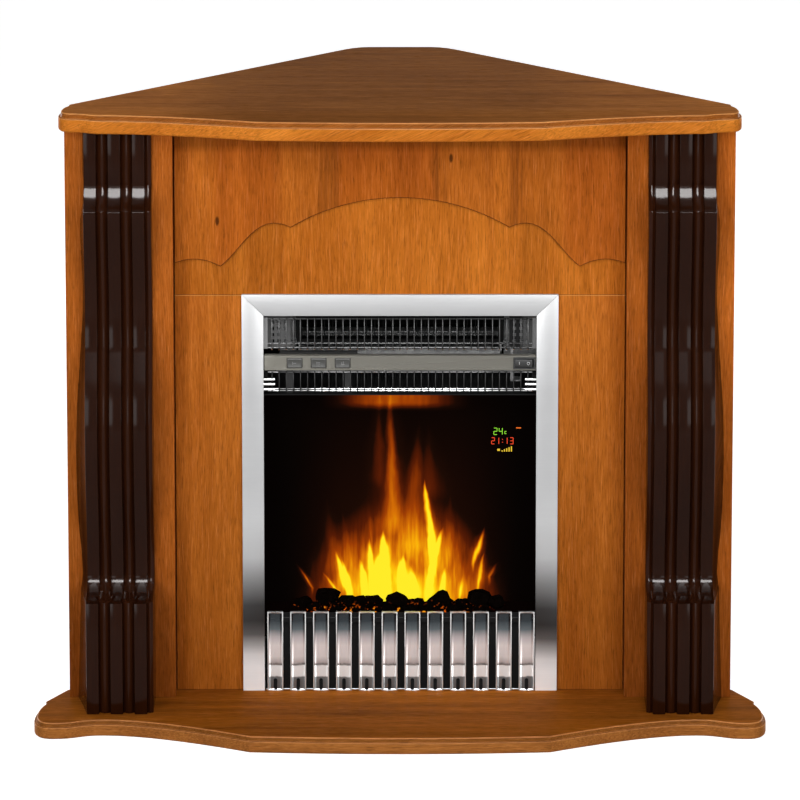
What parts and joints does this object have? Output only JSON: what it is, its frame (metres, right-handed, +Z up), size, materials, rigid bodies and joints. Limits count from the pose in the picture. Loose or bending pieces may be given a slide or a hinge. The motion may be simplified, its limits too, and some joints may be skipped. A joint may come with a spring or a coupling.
{
  "type": "corner fireplace",
  "caption": "Electric fire with fan heater, flame screen and chrome fret in a teak-coloured wooden corner surround with bow-fronted mantel, hearth and dark wavy mouldings.",
  "frame": {"origin": "middle of the underside of the hearth's box, on the floor", "axes": "+Z up, -Y out of the fireplace's front towards the room, +Y into the corner, +X to the viewer's right when facing the front"},
  "size_m": [1.13, 0.718, 0.957],
  "materials": {
    "teak": "satin lacquered teak-coloured veneer",
    "teak_top": "satin lacquered, darker than the posts",
    "teak_red": "satin lacquered, redder teak veneer",
    "chocolate": "gloss lacquered dark chocolate",
    "raw_board": "bare particle board",
    "brushed_silver": "brushed silver",
    "chrome": "polished",
    "black_steel": "satin black paint",
    "zinc": "plain zinc-plated sheet",
    "olive": "satin grey paint",
    "black_plastic": "matte black",
    "grey_plastic": "matte dark grey",
    "screen": "dark screen that shows the moving flame picture",
    "coal": "matte black moulded coal",
    "ember": "translucent orange ember moulding",
    "board": "green circuit board"
  },
  "bodies": {
    "fireplace": {"left_post_face": "teak", "right_post_face": "teak", "left_inner_cheek": "teak", "right_inner_cheek": "teak", "left_outer_cheek": "teak", "right_outer_cheek": "teak", "left_side_panel": "teak", "right_side_panel": "teak", "arch_panel": "teak", "left_facing": "teak", "right_facing": "teak", "hearth_base": "teak_top", "mantel_top": "teak_top", "upper_fascia": "teak_red", "left_moulding": "chocolate", "right_moulding": "chocolate", "rear_board": "raw_board", "top_rail": "raw_board", "joint_rail": "raw_board", "trim_left": "brushed_silver", "trim_right": "brushed_silver", "trim_top": "brushed_silver", "fret": "chrome", "case_left_wall": "black_steel", "case_right_wall": "black_steel", "case_roof": "black_steel", "upper_guard": "black_steel", "lower_guard": "black_steel", "fan_motor": "black_steel", "case_floor": "zinc", "case_back": "zinc", "divider_plate": "zinc", "left_guard_end": "zinc", "right_guard_end": "zinc", "heating_element": "zinc", "fan_housing": "zinc", "fan_bearing": "zinc", "flicker_motor": "zinc", "control_strip": "olive", "switch_block": "black_plastic", "rocker_housing": "black_plastic", "display_module": "black_plastic", "fret_back": "black_plastic", "spindle_bearing": "black_plastic", "thermal_cutout": "black_plastic", "cable_gland": "black_plastic", "terminal_block": "grey_plastic", "flame_screen": "screen", "coal_lumps": "coal", "ember_tray": "ember", "led_strip": "board", "control_board": "board"},
    "heat_low_button": {"heat_low_button": "grey_plastic"},
    "heat_high_button": {"heat_high_button": "grey_plastic"},
    "flame_button": {"flame_button": "grey_plastic"},
    "power_rocker": {"power_rocker": "black_plastic"},
    "fan_rotor": {"fan_rotor": "zinc"},
    "flicker_spindle": {"flicker_spindle": "chrome"}
  },
  "joints": [
    {"name": "heat_low_button_press", "type": "slide", "parent": "fireplace", "child": "heat_low_button", "axis": [0, 1, 0], "range_m": [0, 0.0018], "stiffness_N_per_m": 400},
    {"name": "heat_high_button_press", "type": "slide", "parent": "fireplace", "child": "heat_high_button", "axis": [0, 1, 0], "range_m": [0, 0.0018], "stiffness_N_per_m": 400},
    {"name": "flame_button_press", "type": "slide", "parent": "fireplace", "child": "flame_button", "axis": [0, 1, 0], "range_m": [0, 0.0018], "stiffness_N_per_m": 400},
    {"name": "power_rocker_tilt", "type": "hinge", "parent": "fireplace", "child": "power_rocker", "pos_m": [0.1922, -0.086, 0.55085], "axis": [0, 0, 1], "range_deg": [0, 16]},
    {"name": "fan_spin", "type": "hinge", "parent": "fireplace", "child": "fan_rotor", "pos_m": [0, 0.012, 0.56], "axis": [1, 0, 0], "continuous": true},
    {"name": "flicker_spin", "type": "hinge", "parent": "fireplace", "child": "flicker_spindle", "pos_m": [0, 0.012, 0.103], "axis": [1, 0, 0], "continuous": true}
  ]
}
